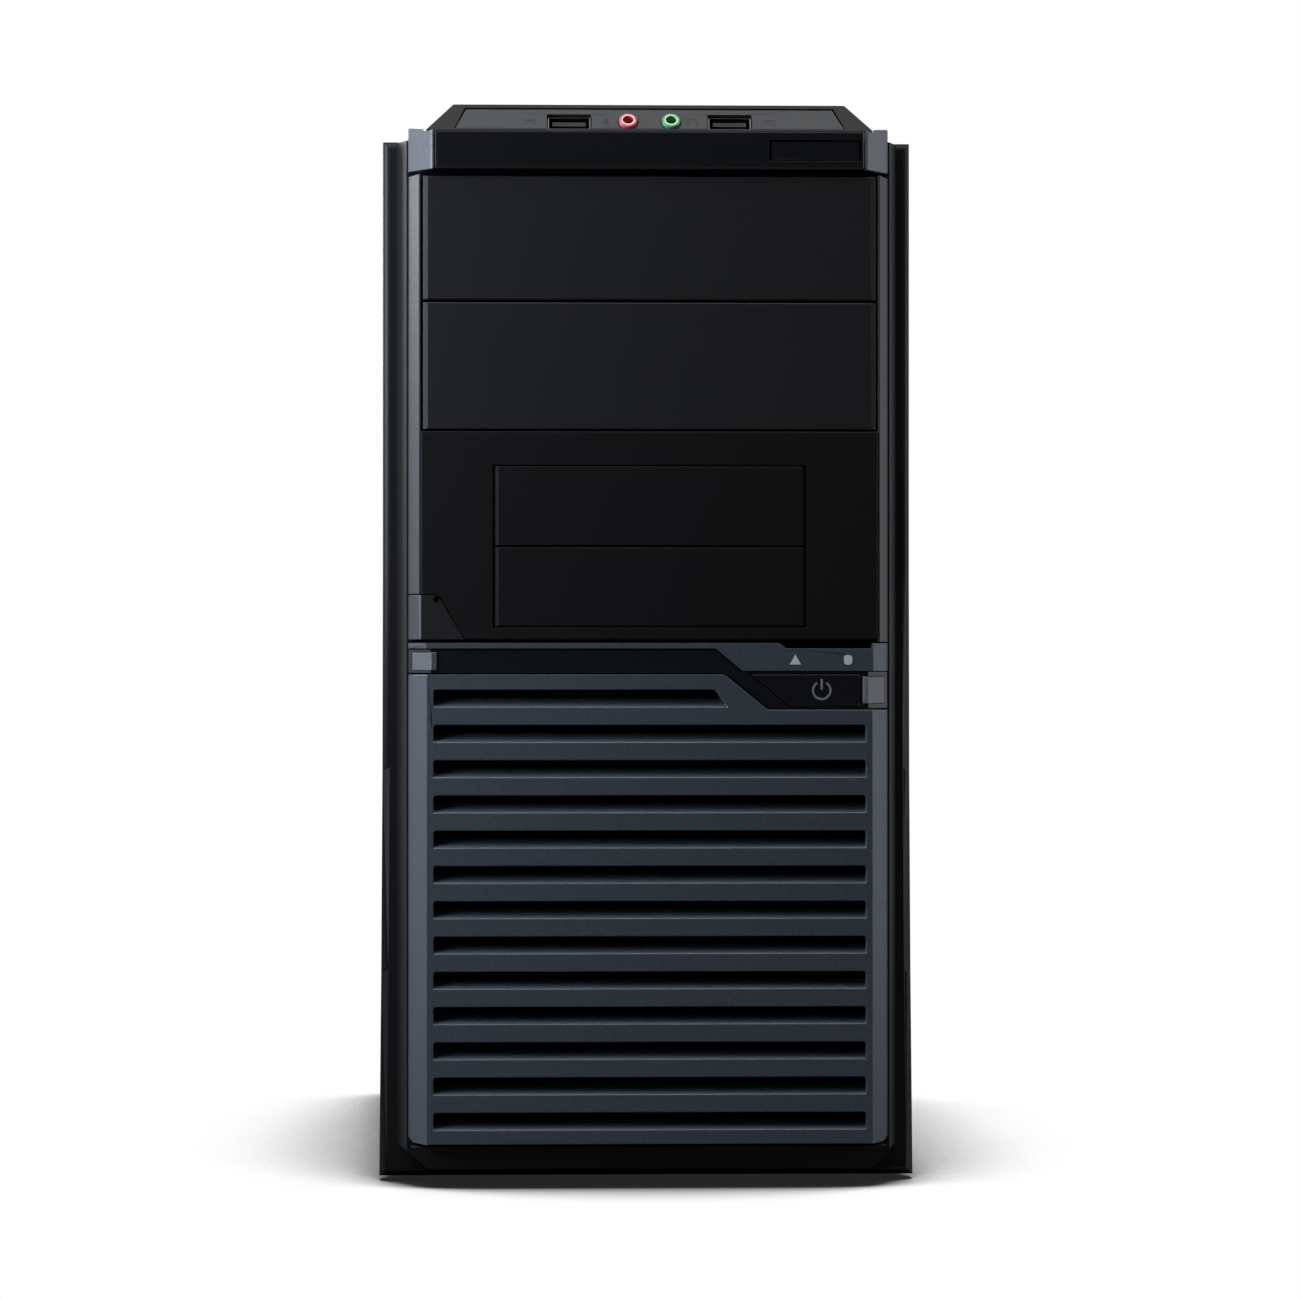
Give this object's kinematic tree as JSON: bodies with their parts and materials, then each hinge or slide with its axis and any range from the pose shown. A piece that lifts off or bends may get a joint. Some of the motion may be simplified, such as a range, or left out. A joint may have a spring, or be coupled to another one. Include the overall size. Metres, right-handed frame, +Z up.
{
  "type": "desktop computer tower",
  "caption": "Micro-tower desktop computer: louvred front bezel with drive bays and angled port pod, folded-steel case, disc tray, keys, fans, boards and a sliding access panel.",
  "frame": {"origin": "centre of the footprint, on the surface that the rubber feet stand on", "axes": "+Z up; the front faces -Y; +X is to the right as seen from the front"},
  "size_m": [0.1788, 0.403, 0.3575],
  "materials": {
    "satin_black_abs": "satin moulded ABS, fine spark texture",
    "charcoal_abs": "matt textured ABS",
    "gloss_black_abs": "high gloss moulded ABS",
    "silver_grey_paint": "satin metallic paint on ABS",
    "gunmetal_paint": "satin metallic paint on ABS",
    "dark_grey_abs": "satin moulded ABS",
    "clear_lens": "polished light guide",
    "zinc_steel": "bright zinc-plated sheet steel",
    "black_painted_steel": "fine-texture powder coat on sheet steel",
    "nickel_steel": "nickel-plated steel",
    "screw_steel": "zinc-plated fasteners",
    "black_pbt": "glass-filled PBT moulding",
    "pink_plastic": "moulded, pastel pink",
    "green_plastic": "moulded, pastel green",
    "red_plastic": "moulded, red",
    "ivory_plastic": "moulded nylon, ivory",
    "circuit_board": "solder-masked laminate with parts",
    "aluminium": "machined or die-cast, satin",
    "rubber": "moulded rubber",
    "cable_sleeve": "woven sleeve and PVC leads"
  },
  "bodies": {
    "case": {"bezel_frame": "satin_black_abs", "side_trims": "silver_grey_paint", "bay_surround": "charcoal_abs", "corner_badge": "charcoal_abs", "large_bay_cover": "charcoal_abs", "small_bay_cover_upper": "charcoal_abs", "small_bay_cover_lower": "charcoal_abs", "header_strip": "gloss_black_abs", "bright_corners": "silver_grey_paint", "indicator_bar": "gunmetal_paint", "indicator_lenses": "clear_lens", "centre_strip": "gloss_black_abs", "front_boards": "circuit_board", "intake_grille": "gunmetal_paint", "port_pod": "dark_grey_abs", "port_plate": "dark_grey_abs", "usb_sockets": "nickel_steel", "microphone_jack": "pink_plastic", "headphone_jack": "green_plastic", "front_plate": "zinc_steel", "base_pan": "zinc_steel", "roof": "black_painted_steel", "rear_panel": "zinc_steel", "mainboard_tray": "zinc_steel", "drive_cage": "zinc_steel", "disk_cage": "zinc_steel", "side_panel_right": "black_painted_steel", "lock_loop": "zinc_steel", "rubber_feet": "rubber", "optical_case": "zinc_steel", "optical_face": "black_pbt", "rear_fan_frame": "black_pbt", "psu_case": "nickel_steel", "psu_core": "circuit_board", "power_inlet": "black_pbt", "mainboard": "circuit_board", "cooler_sink": "aluminium", "cooler_fan_frame": "black_pbt", "board_sockets": "black_pbt", "memory_modules": "circuit_board", "slot_covers": "nickel_steel", "io_shield": "nickel_steel", "io_sockets": "black_pbt", "hard_disk": "aluminium", "cables": "cable_sleeve", "fasteners": "screw_steel"},
    "disc_tray": {"optical_tray": "black_pbt", "tray_cover": "charcoal_abs"},
    "eject_key": {"eject_bar": "gloss_black_abs"},
    "power_button": {"power_key": "gloss_black_abs"},
    "access_panel": {"side_panel_left": "black_painted_steel"},
    "lower_thumbscrew": {"thumbscrew_lower": "screw_steel"},
    "upper_thumbscrew": {"thumbscrew_upper": "screw_steel"},
    "rear_fan": {"rear_fan_rotor": "black_pbt"},
    "supply_fan": {"psu_fan_rotor": "black_pbt"},
    "cooler_fan": {"cooler_rotor": "black_pbt"},
    "voltage_slider": {"selector_slider": "red_plastic"},
    "card_clamp": {"card_latch": "ivory_plastic"},
    "memory_latch_1": {"memory_latch_front": "ivory_plastic"},
    "memory_latch_2": {"memory_latch_rear": "ivory_plastic"}
  },
  "joints": [
    {"name": "tray_slide", "type": "slide", "parent": "case", "child": "disc_tray", "axis": [0, -1, 0], "range_m": [0, 0.14]},
    {"name": "eject_press", "type": "slide", "parent": "case", "child": "eject_key", "axis": [0, 1, 0], "range_m": [0, 0.0015], "stiffness_N_per_m": 400},
    {"name": "power_press", "type": "slide", "parent": "case", "child": "power_button", "axis": [0, 1, 0], "range_m": [0, 0.0015], "stiffness_N_per_m": 400},
    {"name": "panel_slide", "type": "slide", "parent": "case", "child": "access_panel", "axis": [0, 1, 0], "range_m": [0, 0.018]},
    {"name": "lower_screw_turn", "type": "hinge", "parent": "access_panel", "child": "lower_thumbscrew", "pos_m": [-0.0795, 0.196, 0.072], "axis": [0, 1, 0], "continuous": true},
    {"name": "upper_screw_turn", "type": "hinge", "parent": "access_panel", "child": "upper_thumbscrew", "pos_m": [-0.0795, 0.196, 0.288], "axis": [0, 1, 0], "continuous": true},
    {"name": "rear_fan_spin", "type": "hinge", "parent": "case", "child": "rear_fan", "pos_m": [-0.0205, 0.1765, 0.205], "axis": [0, 1, 0], "continuous": true},
    {"name": "supply_fan_spin", "type": "hinge", "parent": "case", "child": "supply_fan", "pos_m": [-0.022, 0.1756, 0.299], "axis": [0, 1, 0], "continuous": true},
    {"name": "cooler_fan_spin", "type": "hinge", "parent": "case", "child": "cooler_fan", "pos_m": [0.034, 0.092, 0.19], "axis": [1, 0, 0], "continuous": true},
    {"name": "voltage_select", "type": "slide", "parent": "case", "child": "voltage_slider", "axis": [1, 0, 0], "range_m": [0, 0.006]},
    {"name": "card_clamp_hinge", "type": "hinge", "parent": "case", "child": "card_clamp", "pos_m": [-0.044, 0.194, 0.04948], "axis": [0, 0, 1], "range_deg": [0, 100]},
    {"name": "memory_latch_1_hinge", "type": "hinge", "parent": "case", "child": "memory_latch_1", "pos_m": [0.0703, 0.012, 0.247], "axis": [0, 1, 0], "range_deg": [0, 25]},
    {"name": "memory_latch_2_hinge", "type": "hinge", "parent": "case", "child": "memory_latch_2", "pos_m": [0.0703, 0.024, 0.247], "axis": [0, 1, 0], "range_deg": [0, 25]}
  ]
}
